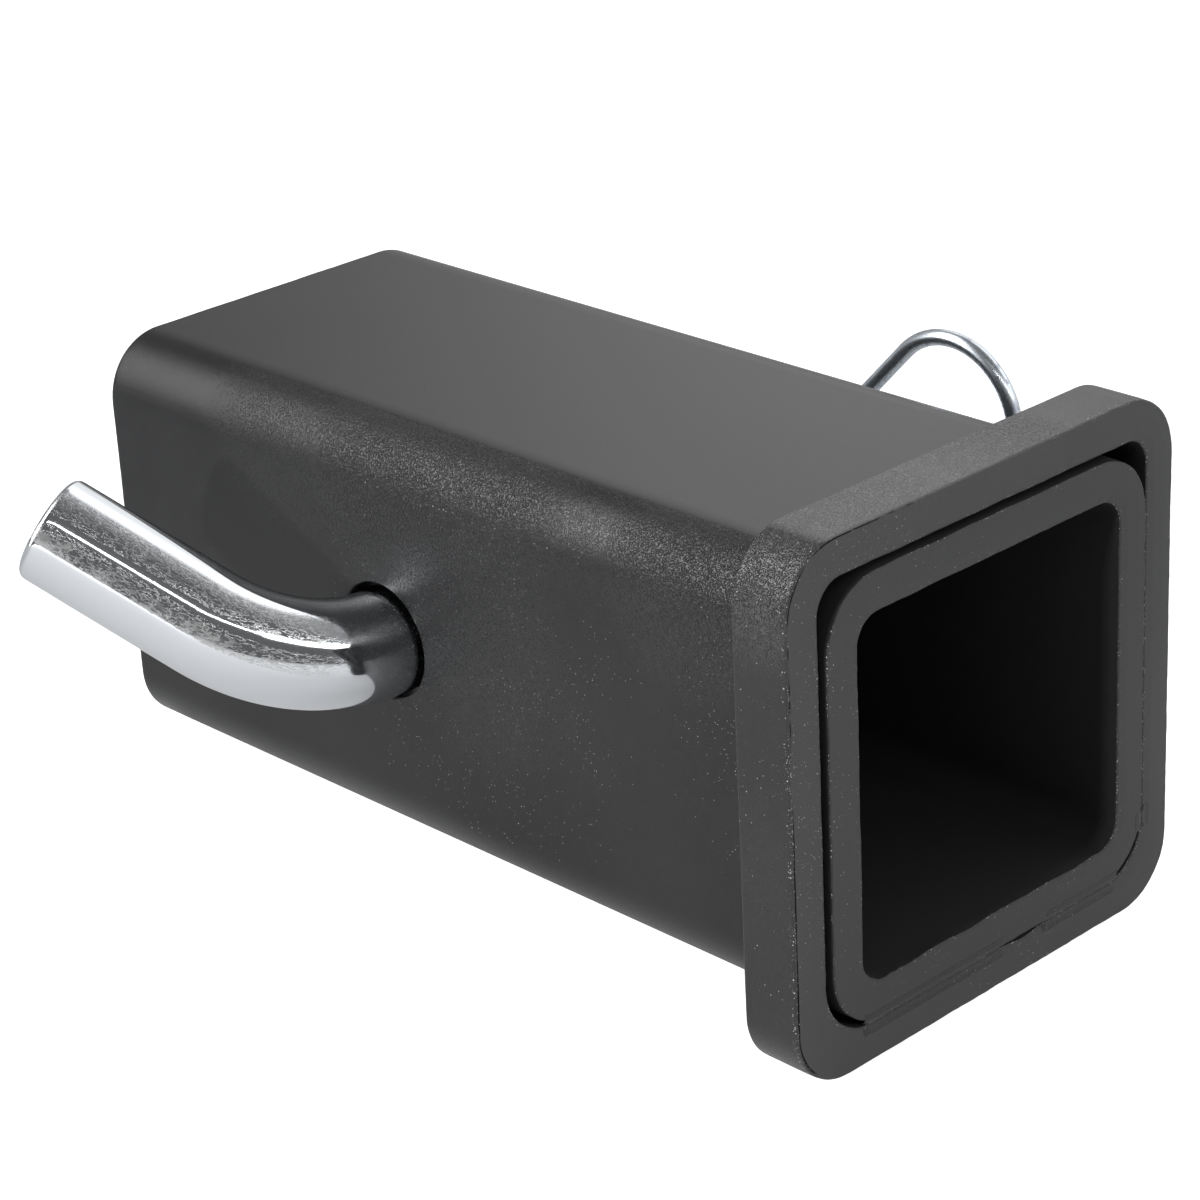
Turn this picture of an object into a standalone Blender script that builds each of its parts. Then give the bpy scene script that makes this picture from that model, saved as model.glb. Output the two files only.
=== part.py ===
"""Hitch reducer sleeve with its bent pin and hairpin clip.

A square steel tube narrows a wide receiver to a smaller shank. A slice of wider
square tube is welded round its mouth and stops it at the receiver. A bent pin goes
through both side walls, and a hairpin clip of spring wire holds the pin.

Metres, +Z up, +X out of the mouth, -Y on the side of the pin's handle. The origin
is on the collar's underside, halfway through its thickness, below the tube's axis.
"""

import bpy
import bmesh
from math import atan2, ceil, cos, pi, radians, sin, sqrt
from mathutils import Vector

# Tube that slides into the receiver
TUBE_WIDTH = 0.0635
TUBE_WALL = 0.0057
TUBE_LENGTH = 0.1446
TUBE_CORNER = 0.0095
BORE_CORNER = 0.0040
TUBE_EDGE = 0.0003

# Collar round the mouth, cut from a wider square tube
COLLAR_FIT = 0.00065
COLLAR_WALL = 0.0057
COLLAR_THICKNESS = 0.0092
COLLAR_CORNER = 0.0095
COLLAR_BORE_CORNER = 0.0040
COLLAR_EDGE = 0.0005
TUBE_PROUD = 0.0004

# Fillet weld behind the collar
WELD_LEG = 0.0042
WELD_CROWN = 0.0005
WELD_RIPPLE_PITCH = 0.0032
WELD_RIPPLE_DEPTH = 0.06

# Bent pin
PIN_DIAMETER = 0.015875
PIN_HOLE_PLAY = 0.0012
PIN_HOLE_EDGE = 0.0004
PIN_FROM_TUBE_END = 0.0593
PIN_HOLE_RISE = 0.0004
PIN_SPARE_GRIP = 0.0230
PIN_NOSE = 0.0100
PIN_NOSE_CHAMFER = 0.0030
PIN_NOSE_END_DIAMETER = 0.0115
PIN_BEND_RADIUS = 0.0238
PIN_BEND_ANGLE = radians(65)
PIN_HANDLE_LENGTH = 0.0257
PIN_HANDLE_ROUNDING = 0.0012
PIN_HANDLE_ROLL = radians(33)
PIN_SAG_ANGLE = radians(25)

# Hairpin clip, bent from one length of spring wire
WIRE_DIAMETER = 0.0025
CROSS_HOLE_PLAY = 0.0013
CLIP_TILT = radians(46.5)
CLIP_BOW_RADIUS = 0.0122
CLIP_BOW_FROM_PIN = 0.0330
CLIP_TAIL = 0.0145
CLIP_NECK_RADIUS = 0.0045
CLIP_NECK_OPENING = 0.0008
CLIP_TIP_RADIUS = 0.0060
CLIP_TIP_OPENING = 0.0016
CLIP_TIP_FLARE = radians(38)
CLIP_TIP_LENGTH = 0.0040

# Clearance that neighbouring pieces keep where they touch
SEAT_GAP = 0.0003

# Fineness of round surfaces
CORNER_STEPS = 10
HOLE_SIDES = 56
PIN_RING_RESOLUTION = 18
WIRE_RING_RESOLUTION = 5
BEND_STEP = radians(5)
WIRE_BEND_STEP = radians(10)
WELD_STEPS_PER_RIPPLE = 4
WELD_PROFILE_STEPS = 4
ROUNDING_STEPS = 3
SHARP_ANGLE = radians(30)
MERGE_DISTANCE = 1e-6

# Sizes and places that follow from the ones above
bore_width = TUBE_WIDTH - 2 * TUBE_WALL
collar_bore = TUBE_WIDTH + 2 * COLLAR_FIT
collar_width = collar_bore + 2 * COLLAR_WALL
collar_shift = COLLAR_FIT - SEAT_GAP
axis_height = collar_width / 2 - collar_shift
collar_front = COLLAR_THICKNESS / 2
collar_back = -COLLAR_THICKNESS / 2
tube_front = collar_front + TUBE_PROUD
tube_middle = tube_front - TUBE_LENGTH / 2
hole_x = tube_front - TUBE_LENGTH + PIN_FROM_TUBE_END
hole_z = axis_height + PIN_HOLE_RISE
hole_diameter = PIN_DIAMETER + PIN_HOLE_PLAY
pin_sag = PIN_HOLE_PLAY / 2 - SEAT_GAP
pin_x = hole_x - pin_sag * sin(PIN_SAG_ANGLE)
pin_z = hole_z - pin_sag * cos(PIN_SAG_ANGLE)
bend_y = -TUBE_WIDTH / 2 - SEAT_GAP
clip_y = TUBE_WIDTH / 2 + PIN_SPARE_GRIP


def new_collection(name):
    """Make a collection in the scene and return it."""
    collection = bpy.data.collections.new(name)
    bpy.context.scene.collection.children.link(collection)
    return collection


def material(name, colour, roughness, metallic):
    """Make a Principled material."""
    result = bpy.data.materials.new(name)
    result.use_nodes = True
    shader = result.node_tree.nodes["Principled BSDF"]
    shader.inputs["Base Color"].default_value = (*colour, 1.0)
    shader.inputs["Roughness"].default_value = roughness
    shader.inputs["Metallic"].default_value = metallic
    return result


def rounded_square(width, corner):
    """Outline of a square with round corners, as (x, y) points, anticlockwise."""
    inset = width / 2 - corner
    centres = [(inset, inset), (-inset, inset), (-inset, -inset), (inset, -inset)]
    points = []
    for quarter, (cx, cy) in enumerate(centres):
        for step in range(CORNER_STEPS + 1):
            angle = (quarter + step / CORNER_STEPS) * pi / 2
            points.append((cx + corner * cos(angle), cy + corner * sin(angle)))
    return points


def poly_spline(curve, points, closed):
    """Add a straight-edged spline through 2D or 3D points to a curve."""
    spline = curve.splines.new("POLY")
    spline.points.add(len(points) - 1)
    for target, point in zip(spline.points, points):
        target.co = (*point, *[0.0] * (3 - len(point)), 1.0)
    spline.use_cyclic_u = closed
    return spline


def curve_to_mesh(curve_object):
    """Replace a curve object by a mesh object of the same name and place."""
    bpy.context.view_layer.update()
    depsgraph = bpy.context.evaluated_depsgraph_get()
    mesh = bpy.data.meshes.new_from_object(curve_object.evaluated_get(depsgraph))
    shape = bmesh.new()
    shape.from_mesh(mesh)
    bmesh.ops.remove_doubles(shape, verts=shape.verts, dist=MERGE_DISTANCE)
    bmesh.ops.recalc_face_normals(shape, faces=shape.faces)
    shape.to_mesh(mesh)
    shape.free()
    name = curve_object.name
    collection = curve_object.users_collection[0]
    matrix = curve_object.matrix_world.copy()
    bpy.data.objects.remove(curve_object, do_unlink=True)
    result = bpy.data.objects.new(name, mesh)
    collection.objects.link(result)
    result.matrix_world = matrix
    return result


def finish(piece, skin):
    """Give a piece its material and smooth shading between its real edges."""
    piece.data.materials.clear()
    piece.data.materials.append(skin)
    if piece.type == "MESH":
        piece.data.shade_smooth()
        piece.data.set_sharp_from_angle(angle=SHARP_ANGLE)


def square_ring(name, outer, inner, thickness, edge, centre):
    """A slice of square tube across X: two outlines, extruded, with broken edges."""
    curve = bpy.data.curves.new(name, "CURVE")
    curve.dimensions = "2D"
    curve.fill_mode = "BOTH"
    curve.extrude = thickness / 2 - edge
    curve.bevel_depth = edge
    curve.bevel_resolution = 1
    curve.offset = -edge
    poly_spline(curve, outer, closed=True)
    poly_spline(curve, inner, closed=True)
    ring = bpy.data.objects.new(name, curve)
    parts.objects.link(ring)
    ring.location = centre
    ring.rotation_euler = (pi / 2, 0, pi / 2)
    return curve_to_mesh(ring)


def turned_cutter(name, profile, sides):
    """A solid of revolution about its own Z axis, kept out of sight as a cutter.

    The profile is a list of (radius, height) points, from top to bottom.
    """
    mesh = bpy.data.meshes.new(name)
    heights = [profile[0][1], *[height for _, height in profile], profile[-1][1]]
    radii = [0.0, *[radius for radius, _ in profile], 0.0]
    points = [(radius, 0.0, height) for radius, height in zip(radii, heights)]
    mesh.from_pydata(points, [(i, i + 1) for i in range(len(points) - 1)], [])
    cutter = bpy.data.objects.new(name, mesh)
    cutters.objects.link(cutter)
    screw = cutter.modifiers.new("turn", "SCREW")
    screw.steps = sides
    screw.render_steps = sides
    screw.use_merge_vertices = True
    screw.merge_threshold = MERGE_DISTANCE
    cutter.hide_render = True
    cutter.display_type = "WIRE"
    return cutter


def cut(piece, cutter):
    """Take a cutter out of a piece."""
    boolean = piece.modifiers.new(cutter.name, "BOOLEAN")
    boolean.operation = "DIFFERENCE"
    boolean.solver = "EXACT"
    boolean.object = cutter


def make_tube():
    """The square tube, with the pin's hole through both side walls."""
    tube = square_ring(
        "sleeve_tube",
        rounded_square(TUBE_WIDTH, TUBE_CORNER),
        rounded_square(bore_width, BORE_CORNER),
        TUBE_LENGTH,
        TUBE_EDGE,
        (tube_middle, 0, axis_height),
    )
    radius = hole_diameter / 2
    side = TUBE_WIDTH / 2
    edge = PIN_HOLE_EDGE
    profile = [
        (radius + 2 * edge, side + edge),
        (radius, side - edge),
        (radius, edge - side),
        (radius + 2 * edge, -side - edge),
    ]
    drill = turned_cutter("pin_hole_drill", profile, HOLE_SIDES)
    drill.location = (hole_x, 0, hole_z)
    drill.rotation_euler = (pi / 2, 0, 0)
    cut(tube, drill)
    return tube


def make_collar():
    """The stop collar. It hangs on the tube, so it sits off the tube's axis."""
    return square_ring(
        "collar",
        rounded_square(collar_width, COLLAR_CORNER),
        rounded_square(collar_bore, COLLAR_BORE_CORNER),
        COLLAR_THICKNESS,
        COLLAR_EDGE,
        (0, -collar_shift, axis_height + collar_shift),
    )


def weld_profile():
    """Section of the fillet: two straight legs from the root and a crowned face.

    x runs out along the collar's back face, y away from the collar along the tube.
    """
    outwards = Vector((1, 1)).normalized()
    points = [Vector((0, 0))]
    for step in range(WELD_PROFILE_STEPS + 1):
        share = step / WELD_PROFILE_STEPS
        along = Vector((WELD_LEG * (1 - share), WELD_LEG * share))
        crown = WELD_CROWN * (1 - (2 * share - 1) ** 2)
        points.append(along + outwards * crown)
    return points


def make_weld():
    """The fillet weld in the corner between the tube and the collar's back face."""
    section = [(-point.x, -point.y) for point in weld_profile()]
    profile_curve = bpy.data.curves.new("weld_section", "CURVE")
    profile_curve.dimensions = "2D"
    poly_spline(profile_curve, section, closed=True)
    profile = bpy.data.objects.new("weld_section", profile_curve)
    profile.hide_render = True
    profile.display_type = "WIRE"
    cutters.objects.link(profile)

    outline = rounded_square(TUBE_WIDTH + 2 * SEAT_GAP, TUBE_CORNER + SEAT_GAP)
    corners = [Vector(point) for point in outline]
    lengths = [(b - a).length for a, b in zip(corners, corners[1:] + corners[:1])]
    ripples = ceil(sum(lengths) / WELD_RIPPLE_PITCH)
    count = ripples * WELD_STEPS_PER_RIPPLE
    path = []
    for index in range(count):
        distance = sum(lengths) * index / count
        edge = 0
        while distance > lengths[edge]:
            distance -= lengths[edge]
            edge += 1
        start = corners[edge]
        end = corners[(edge + 1) % len(corners)]
        path.append(tuple(start.lerp(end, distance / lengths[edge])))

    curve = bpy.data.curves.new("collar_weld", "CURVE")
    curve.dimensions = "2D"
    curve.fill_mode = "NONE"
    curve.bevel_mode = "OBJECT"
    curve.bevel_object = profile
    spline = poly_spline(curve, path, closed=True)
    for index, point in enumerate(spline.points):
        phase = (index % WELD_STEPS_PER_RIPPLE) / WELD_STEPS_PER_RIPPLE
        point.radius = 1 - WELD_RIPPLE_DEPTH * phase
    weld = bpy.data.objects.new("collar_weld", curve)
    parts.objects.link(weld)
    weld.location = (collar_back - SEAT_GAP, 0, axis_height)
    weld.rotation_euler = (pi / 2, 0, pi / 2)
    return curve_to_mesh(weld)


def pin_route():
    """Centre line of the pin from nose to handle, as (point, radius) pairs."""
    radius = PIN_DIAMETER / 2
    nose_radius = PIN_NOSE_END_DIAMETER / 2
    nose_y = clip_y + PIN_NOSE
    shank = Vector((0, -1, 0))
    side = Vector((-cos(PIN_HANDLE_ROLL), 0, sin(PIN_HANDLE_ROLL)))
    origin = Vector((pin_x, 0, pin_z))
    route = [
        (origin - shank * nose_y, nose_radius),
        (origin - shank * (nose_y - PIN_NOSE_CHAMFER), radius),
    ]
    bend = origin + shank * -bend_y
    steps = ceil(PIN_BEND_ANGLE / BEND_STEP)
    for step in range(steps + 1):
        angle = PIN_BEND_ANGLE * step / steps
        along = shank * sin(angle) * PIN_BEND_RADIUS
        across = side * (1 - cos(angle)) * PIN_BEND_RADIUS
        route.append((bend + along + across, radius))
    handle_start = route[-1][0]
    handle = shank * cos(PIN_BEND_ANGLE) + side * sin(PIN_BEND_ANGLE)
    rounding = PIN_HANDLE_ROUNDING
    for step in range(ROUNDING_STEPS + 1):
        angle = step / ROUNDING_STEPS * pi / 2
        reach = PIN_HANDLE_LENGTH - rounding * (1 - sin(angle))
        route.append((handle_start + handle * reach, radius - rounding * (1 - cos(angle))))
    return route


def make_pin():
    """The bent pin, with the clip's hole across its far end."""
    route = pin_route()
    curve = bpy.data.curves.new("hitch_pin", "CURVE")
    curve.dimensions = "3D"
    curve.bevel_depth = PIN_DIAMETER / 2
    curve.bevel_resolution = PIN_RING_RESOLUTION
    curve.use_fill_caps = True
    spline = poly_spline(curve, [point for point, _ in route], closed=False)
    for target, (_, radius) in zip(spline.points, route):
        target.radius = radius / (PIN_DIAMETER / 2)
    pin = bpy.data.objects.new("hitch_pin", curve)
    parts.objects.link(pin)
    pin = curve_to_mesh(pin)
    radius = (WIRE_DIAMETER + CROSS_HOLE_PLAY) / 2
    drill = turned_cutter(
        "cross_hole_drill",
        [(radius, PIN_DIAMETER), (radius, -PIN_DIAMETER)],
        HOLE_SIDES // 2,
    )
    drill.location = (pin_x, clip_y, pin_z)
    drill.rotation_euler = (0, pi / 2 - CLIP_TILT, 0)
    cut(pin, drill)
    return pin


def round_pegs(start, pegs, end_heading, end_length):
    """Centre line of a wire pulled from a start point round a row of pegs.

    Each peg is (centre, radius), with a radius above zero where the wire turns left
    and below zero where it turns right. The wire leaves the last peg at end_heading.
    """
    def left(heading):
        return Vector((-sin(heading), cos(heading)))

    stops = [(Vector(start), 0.0), *[(Vector(centre), radius) for centre, radius in pegs]]
    headings = []
    for (centre_a, radius_a), (centre_b, radius_b) in zip(stops, stops[1:]):
        way = centre_b - centre_a
        offset = radius_b - radius_a
        straight = sqrt(max(way.length_squared - offset**2, 0.0))
        headings.append(atan2(way.y, way.x) - atan2(offset, straight))
    headings.append(end_heading)

    points = [Vector(start)]
    for (centre, radius), entry, leave in zip(stops[1:], headings, headings[1:]):
        turn = (leave - entry) % (2 * pi)
        if radius < 0:
            turn -= 2 * pi
        steps = ceil(abs(turn) / WIRE_BEND_STEP)
        for step in range(steps + 1):
            points.append(centre - left(entry + turn * step / steps) * radius)
    way_out = Vector((cos(end_heading), sin(end_heading)))
    points.append(points[-1] + way_out * end_length)
    kept = points[:1]
    for point in points[1:]:
        if (point - kept[-1]).length > MERGE_DISTANCE:
            kept.append(point)
    return kept


def clip_route():
    """The clip in its own plane: x along its straight leg, y across, pin at (0, 0)."""
    wire = WIRE_DIAMETER
    hug = PIN_DIAMETER / 2 + wire / 2 + SEAT_GAP
    neck_drop = CLIP_NECK_RADIUS + wire + CLIP_NECK_OPENING
    neck_x = sqrt((hug + CLIP_NECK_RADIUS) ** 2 - neck_drop**2)
    tip_drop = CLIP_TIP_RADIUS + wire + CLIP_TIP_OPENING
    tip_x = sqrt((hug + CLIP_TIP_RADIUS) ** 2 - tip_drop**2)
    pegs = [
        ((CLIP_BOW_FROM_PIN, -CLIP_BOW_RADIUS), -CLIP_BOW_RADIUS),
        ((neck_x, -neck_drop), CLIP_NECK_RADIUS),
        ((0, 0), -hug),
        ((-tip_x, -tip_drop), CLIP_TIP_RADIUS),
    ]
    return round_pegs((-CLIP_TAIL, 0), pegs, pi + CLIP_TIP_FLARE, CLIP_TIP_LENGTH)


def make_clip():
    """The hairpin clip, in the plane across the pin that its cross hole lies in."""
    along = Vector((cos(CLIP_TILT), 0, sin(CLIP_TILT)))
    across = Vector((-sin(CLIP_TILT), 0, cos(CLIP_TILT)))
    centre = Vector((pin_x, clip_y, pin_z))
    points = [centre + along * point.x + across * point.y for point in clip_route()]
    curve = bpy.data.curves.new("hairpin_clip", "CURVE")
    curve.dimensions = "3D"
    curve.bevel_depth = WIRE_DIAMETER / 2
    curve.bevel_resolution = WIRE_RING_RESOLUTION
    curve.use_fill_caps = True
    poly_spline(curve, points, closed=False)
    clip = bpy.data.objects.new("hairpin_clip", curve)
    parts.objects.link(clip)
    return clip


for old in list(bpy.data.objects):
    bpy.data.objects.remove(old, do_unlink=True)

parts = new_collection("hitch_reducer_sleeve")
cutters = new_collection("cutters")
powder_coat = material("black_powder_coat", (0.032, 0.032, 0.033), 0.55, 0.0)
chrome = material("bright_chrome", (0.78, 0.79, 0.80), 0.12, 1.0)
zinc = material("bright_zinc", (0.62, 0.65, 0.68), 0.22, 1.0)

finish(make_tube(), powder_coat)
finish(make_collar(), powder_coat)
finish(make_weld(), powder_coat)
finish(make_pin(), chrome)
finish(make_clip(), zinc)
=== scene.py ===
"""Looks of a hitch reducer sleeve: coated square tube, welded collar, bent pin, clip.

Metres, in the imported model's frame: +X out of the mouth, +Z up, -Y towards the
pin's handle. Textures, flares, the depths of marks and ripples, and places along the
collar's gap are in millimetres.
"""

from math import atan2, ceil, cos, pi, radians, sin, sqrt

import bpy
import bmesh
import numpy as np
from mathutils import Matrix, Vector, noise


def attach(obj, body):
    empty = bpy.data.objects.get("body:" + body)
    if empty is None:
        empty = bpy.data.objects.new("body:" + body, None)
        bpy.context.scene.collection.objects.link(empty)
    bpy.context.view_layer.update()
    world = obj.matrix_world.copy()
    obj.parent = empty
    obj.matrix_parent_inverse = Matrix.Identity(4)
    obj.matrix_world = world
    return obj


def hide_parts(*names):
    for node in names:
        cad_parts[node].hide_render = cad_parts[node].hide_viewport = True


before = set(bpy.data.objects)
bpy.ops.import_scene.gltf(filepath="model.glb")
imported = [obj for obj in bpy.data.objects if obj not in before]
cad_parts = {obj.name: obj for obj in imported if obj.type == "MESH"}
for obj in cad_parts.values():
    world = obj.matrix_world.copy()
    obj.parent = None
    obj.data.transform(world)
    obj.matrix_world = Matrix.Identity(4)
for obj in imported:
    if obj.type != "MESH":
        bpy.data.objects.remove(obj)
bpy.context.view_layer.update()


# SLEEVE TUBE
# Square structural tube, 63.5 mm outside, sawn to length and drilled for the pin.
# It is powder coated satin black: the coat beads up along the sawn edges and shows
# an orange peel on the round corners.
MM = 0.001
TUBE_WIDTH = 0.0635
TUBE_CORNER = 0.0095
BORE_WIDTH = 0.0521
BORE_CORNER = 0.0040
TUBE_BACK = -0.1396
TUBE_FRONT = 0.00497
AXIS_HEIGHT = 0.03775
ARC_STEPS = 18
SIDE_STEPS = 120
GROOVE_DEPTH = 0.24
HOLE_PLACE = (-0.0803, 0.0, 0.03815)
HOLE_RADIUS = 0.0085375
DRILL_SIDES = 96
TUBE_EDGE = 0.0002
TUBE_HOLE_FLARE = [(0.0, -0.60), (0.05, -0.35), (0.20, -0.12), (0.45, 0.0), (1.20, 1.0)]
END_ROOM = 0.007
ROW_PITCH = 0.010
BEAD_WIDTH = 0.0017
COAT_BLACK = (0.0052, 0.0052, 0.0054, 1.0)
RIM_PAINTED_SHADE = (0.006, 0.006, 0.006, 1.0)
INSIDE_PAINTED_SHADE = (0.010, 0.010, 0.010, 1.0)
COAT_SAWN = (0.038, 0.038, 0.039, 1.0)
COAT_PALE = (0.017, 0.017, 0.0175, 1.0)
GROOVE_PAINTED_SHADE = (0.002, 0.002, 0.002, 1.0)
SPECK_GREY = (0.45, 0.45, 0.46, 1.0)
TOP_PAINTED_LIGHT = (0.085, 0.085, 0.087, 1.0)
CREST_PAINTED_LIGHT = (0.032, 0.032, 0.033, 1.0)
PEEL_DEPTH = 0.072
GRAIN_DEPTH = 0.003
SAW_DEPTH = 0.035
SAW_ANGLE = radians(38)
SPECK_HEIGHT = 0.03
SPECK_SIZE = 0.08
BEAD_SIZE = 0.085
BEAD_SPACING = 3.2


def square_outline(width, corners):
    """Points and outward normals once round a rounded square, as (y, z) pairs.

    corners are the four radii, from the corner at +y +z towards the one at -y +z.
    """
    signs = [(1, 1), (-1, 1), (-1, -1), (1, -1)]
    centres = [Vector(sign) * (width / 2 - corner) for sign, corner in zip(signs, corners)]
    points, normals = [], []
    for quarter, (centre, corner) in enumerate(zip(centres, corners)):
        for step in range(ARC_STEPS):
            angle = (quarter + step / ARC_STEPS) * pi / 2
            normal = Vector((cos(angle), sin(angle)))
            points.append(centre + normal * corner)
            normals.append(normal)
        angle = (quarter + 1) * pi / 2
        normal = Vector((cos(angle), sin(angle)))
        first = centre + normal * corner
        last = centres[(quarter + 1) % 4] + normal * corners[(quarter + 1) % 4]
        for step in range(SIDE_STEPS):
            points.append(first.lerp(last, step / SIDE_STEPS))
            normals.append(normal)
    return np.array(points), np.array(normals)


def rough(points, size, seed):
    """Smooth noise from -1 to 1 at 3D points, with features of about that size."""
    shift = Vector((seed * 7.1, seed * 3.3, seed * 5.7))
    return np.array([noise.noise(Vector(p) / size + shift) for p in points])


def ring_mesh(name, rows, closed=True):
    """A mesh of quads between rows of points, each row closed on itself."""
    count = len(rows[0])
    shape = bmesh.new()
    grid = [[shape.verts.new(p) for p in row] for row in rows]
    pairs = list(zip(grid, grid[1:] + grid[:1])) if closed else list(zip(grid, grid[1:]))
    for row, after in pairs:
        for i in range(count):
            j = (i + 1) % count
            shape.faces.new((row[i], row[j], after[j], after[i]))
    if not closed:
        shape.faces.new(grid[0])
        shape.faces.new(grid[-1])
    bmesh.ops.recalc_face_normals(shape, faces=shape.faces)
    mesh = bpy.data.meshes.new(name)
    shape.to_mesh(mesh)
    shape.free()
    mesh.shade_smooth()
    made = bpy.data.objects.new(name, mesh)
    bpy.context.scene.collection.objects.link(made)
    return made


def point_values(piece, name, values):
    """Keep one number per point of a piece for its material to read."""
    attribute = piece.data.attributes.new(name, "FLOAT", "POINT")
    attribute.data.foreach_set("value", np.asarray(values, np.float32))


def sawn_ring(name, outer, inner, back, front, height, shift, edge, ragged, lip, covered_from):
    """A length of square tube with broken, slightly ragged sawn edges.

    outer and inner are (width, corners). The rows go along the outside to the front,
    over the front edge and face, back along the inside and over the back face.
    ragged gives how far the edge of a row stands out, in millimetres, and lip where
    the groove behind the front edge is. The outside is covered from covered_from on.
    """
    out_at, out_normal = square_outline(*outer)
    in_at, in_normal = square_outline(*inner)
    wall = (outer[0] - inner[0]) / 2 - 2 * edge
    rows, rims, cuts, shaded_insides, grooves = [], [], [], [], []

    def add(x, share, inset, rim, cut, depth=0.0):
        flat = (1 - share) * (out_at - out_normal * inset) + share * (in_at + in_normal * inset)
        normal = out_normal if share < 0.5 else -in_normal
        row = np.column_stack([np.full(len(flat), x), flat + (shift[0], shift[1] + height)])
        if rim:
            row[:, 1:] += normal * (ragged(row, share) * rim * MM)[:, None]
            outward = 1 if x > (back + front) / 2 else -1
            row[:, 0] += outward * 0.05 * MM * rim * (rough(row, 1.1 * MM, 4) - 1)
        groove = np.zeros(len(row))
        if depth:
            worn = np.clip(0.6 + rough(row, 9 * MM, 6) + 0.6 * rough(row, 1.2 * MM, 7), 0, 1)
            groove = worn * lip(row) * depth
            row[:, 0] -= groove * MM
        grooves.append(groove / GROOVE_DEPTH)
        rows.append(row)
        rims.append(np.full(len(row), rim))
        cuts.append(np.full(len(row), cut))
        # The inside, and the outside from covered_from on, are marked for painted shade.
        in_shade = not cut and (share == 1 or x > covered_from)
        shaded_insides.append(np.full(len(row), 1.0 if in_shade else 0.0))

    length = front - back
    turn = [0, 22.5, 45, 67.5, 90]
    near = [d * MM for d in (6, 3, 1.6, 0.8, 0.3) if d * MM < length / 2 - MM]
    along = [(back + front) / 2]
    if length > 20 * MM:
        steps = round((length - 2 * END_ROOM) / ROW_PITCH)
        along = list(np.linspace(back + END_ROOM, front - END_ROOM, steps + 1))

    for x in along:
        add(x, 0, 0, 0, 0)
    for d in near:
        add(front - edge - d, 0, 0, max(0.0, 1 - d / BEAD_WIDTH), 0)
    for angle in turn:
        a = radians(angle)
        add(front - edge * (1 - sin(a)), 0, edge * (1 - cos(a)), 1.0, angle / 90)
    groove_line = [(0.03, 0.08), (0.09, GROOVE_DEPTH), (0.20, GROOVE_DEPTH), (0.28, 0.06), (0.45, 0.0)]
    for d, depth in groove_line:
        add(front, d * MM / wall, edge, 0.6, 1.0, depth)
    for share in (0.2, 0.35, 0.5, 0.65, 0.8):
        add(front, share, edge, 0, 1.0)
    for d in (0.8, 0.35):
        add(front, 1 - d * MM / wall, edge, 0.5, 1.0)
    for angle in reversed(turn):
        a = radians(angle)
        add(front - edge * (1 - sin(a)), 1, edge * (1 - cos(a)), 1.0, angle / 90)
    for d in reversed(near):
        add(front - edge - d, 1, 0, max(0.0, 1 - d / BEAD_WIDTH), 0)
    for x in reversed(along):
        add(x, 1, 0, 0, 0)
    for d in near:
        add(back + edge + d, 1, 0, 0, 0)
    for angle in turn:
        a = radians(angle)
        add(back + edge * (1 - sin(a)), 1, edge * (1 - cos(a)), 0.35, angle / 90)
    for share in (0.75, 0.5, 0.25):
        add(back, share, edge, 0, 1.0)
    for angle in reversed(turn):
        a = radians(angle)
        add(back + edge * (1 - sin(a)), 0, edge * (1 - cos(a)), 0.35, angle / 90)
    for d in reversed(near):
        add(back + edge + d, 0, 0, 0, 0)

    made = ring_mesh(name, rows)
    for label, values in (("rim", rims), ("cut", cuts), ("inside", shaded_insides), ("groove", grooves)):
        point_values(made, label, np.concatenate(values))
    return made


def drill_through(piece, place, way, radius, flares):
    """Drill a round hole both ways from a place; flares are (wider in mm, distance)."""
    along = Vector(way).normalized()
    side = along.orthogonal().normalized()
    other = along.cross(side)
    turns = [2 * pi * i / DRILL_SIDES for i in range(DRILL_SIDES)]
    circle = [side * cos(turn) + other * sin(turn) for turn in turns]
    profile = [(radius + wider * MM, distance) for wider, distance in flares]
    profile = [(wide, -distance) for wide, distance in reversed(profile)] + profile
    centres = [(Vector(place) + along * at, wide) for wide, at in profile]
    rows = [[centre + point * wide for point in circle] for centre, wide in centres]
    drill = ring_mesh("drill", rows, closed=False)
    hole = piece.modifiers.new("hole", "BOOLEAN")
    hole.operation = "DIFFERENCE"
    hole.solver = "EXACT"
    hole.object = drill
    bpy.context.view_layer.update()
    done = piece.evaluated_get(bpy.context.evaluated_depsgraph_get())
    drilled = bpy.data.meshes.new_from_object(done)
    piece.modifiers.clear()
    piece.data = drilled
    piece.data.materials.clear()
    bpy.data.objects.remove(drill)


def node(tree, kind, inputs=None, **settings):
    """Add a shader node, set it up and link or fill its inputs."""
    made = tree.nodes.new("ShaderNode" + kind)
    for key, value in settings.items():
        setattr(made, key, value)
    for key, value in (inputs or {}).items():
        if isinstance(value, bpy.types.NodeSocket):
            tree.links.new(value, made.inputs[key])
        else:
            made.inputs[key].default_value = value
    return made


def number(tree, operation, *values, clamp=False):
    """A Math node on sockets or plain numbers, as its output socket."""
    made = node(tree, "Math", dict(enumerate(values)), operation=operation, use_clamp=clamp)
    return made.outputs[0]


def times(tree, first, *others):
    """Values multiplied together, as a socket."""
    for other in others:
        first = number(tree, "MULTIPLY", first, other)
    return first


def plus(tree, first, *others):
    """Values added up, as a socket."""
    for other in others:
        first = number(tree, "ADD", first, other)
    return first


def minus(tree, first, other):
    """One value less another, as a socket."""
    return number(tree, "SUBTRACT", first, other)


def between(tree, value, low, high, at_low=0.0, at_high=1.0):
    """A smooth step of a value from one level to another, as a socket."""
    inputs = {0: value, 1: low, 2: high, 3: at_low, 4: at_high}
    return node(tree, "MapRange", inputs, interpolation_type="SMOOTHSTEP").outputs[0]


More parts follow.
